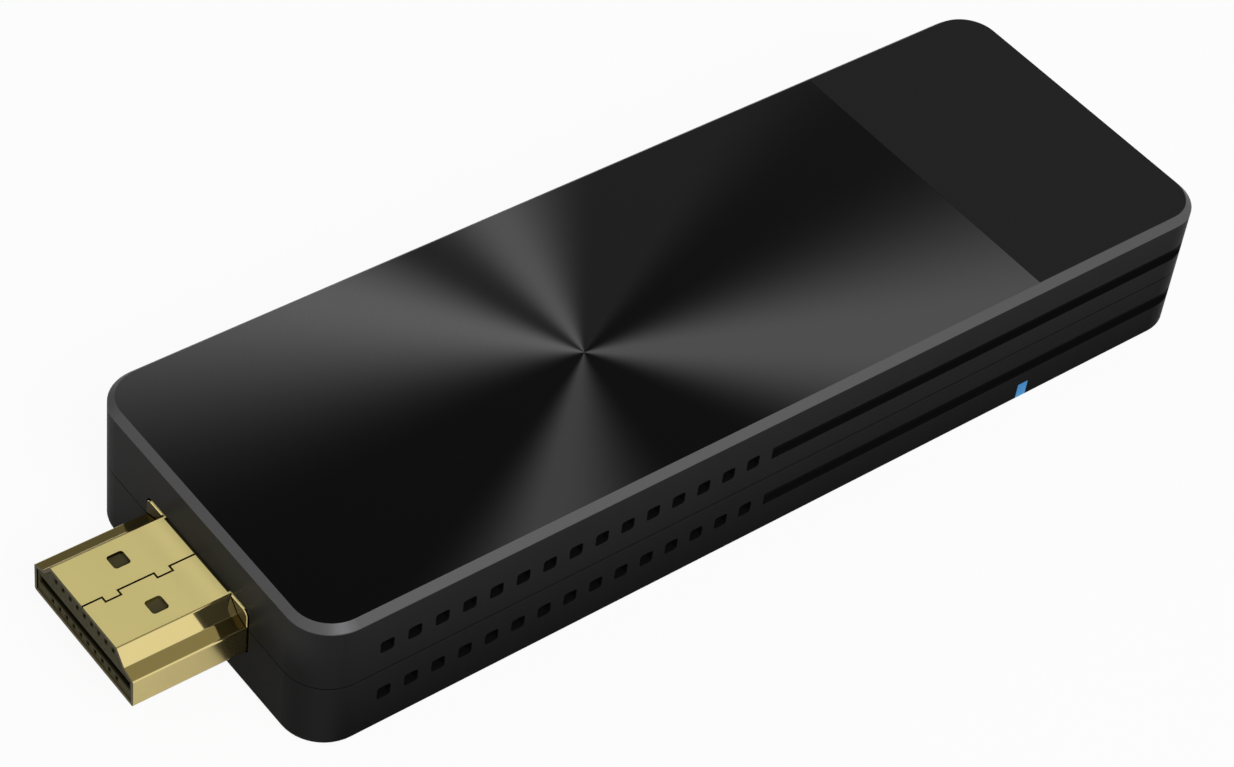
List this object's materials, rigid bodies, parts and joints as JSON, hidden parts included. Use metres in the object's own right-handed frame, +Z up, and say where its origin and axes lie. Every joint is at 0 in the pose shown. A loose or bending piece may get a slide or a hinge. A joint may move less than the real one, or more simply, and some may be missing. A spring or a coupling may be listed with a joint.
{
  "type": "wireless display dongle",
  "caption": "Slim black wireless display stick with a gold display plug, vented sides, a glossy spun top plate and a small status light.",
  "frame": {"origin": "bottom centre of the whole object, the display plug included", "axes": "+X from the display plug to the power inlet, +Y across the casing, +Z up through the top plate; the status light is on the -Y side"},
  "size_m": [0.1012, 0.031, 0.0131],
  "materials": {
    "casing": "satin black moulded plastic",
    "plate": "gloss black over a fine circular spun texture, bright bevelled rim",
    "film": "matte black printed film, bare",
    "light": "clear light guide, lit blue",
    "gold": "thin gold plating, semi-gloss",
    "insulator": "black moulded insulator",
    "contact": "gold-plated contact metal",
    "tin": "tin-plated sheet steel",
    "steel": "zinc-plated steel",
    "board": "glass-filled resin board with green solder mask",
    "chip": "black chip moulding",
    "pad": "soft grey-blue heat pad",
    "aluminium": "plain rolled aluminium",
    "antenna": "flexible film antenna on a foam strip",
    "coax": "thin black coaxial lead",
    "led": "small white light chip",
    "button": "satin black moulded button",
    "coil": "dark grey ferrite",
    "capacitor": "tan ceramic with tinned ends",
    "resistor": "black film on white ceramic"
  },
  "bodies": {
    "casing": {"upper_shell": "casing", "lower_shell": "casing", "top_plate": "plate", "label_film": "film", "light_pipe": "light", "plug_shell": "gold", "plug_insulator": "insulator", "plug_contacts_narrow": "contact", "plug_contacts_wide": "contact", "inlet_shell": "tin", "inlet_insulator": "insulator", "inlet_contacts": "contact", "main_board": "board", "board_screws": "steel", "processor": "chip", "memory_chips": "chip", "flash_chip": "chip", "shield_frame": "tin", "shield_lid": "tin", "chip_thermal_pad": "pad", "lid_thermal_pad": "pad", "heat_spreader": "aluminium", "wireless_board": "board", "wireless_can": "tin", "wireless_chip": "chip", "coax_sockets": "contact", "coax_plugs": "contact", "coax_lead_near": "coax", "coax_lead_far": "coax", "antenna_near": "antenna", "antenna_far": "antenna", "status_led": "led", "switch_body": "tin", "power_inductors": "coil", "regulator_chips": "chip", "crystal": "tin", "ceramic_capacitors": "capacitor", "chip_resistors": "resistor"},
    "button": {"reset_button": "button", "switch_plunger": "button"}
  },
  "joints": [
    {"name": "reset_press", "type": "slide", "parent": "casing", "child": "button", "axis": [-1, 0, 0], "range_m": [0, 0.0003], "stiffness_N_per_m": 3000}
  ]
}
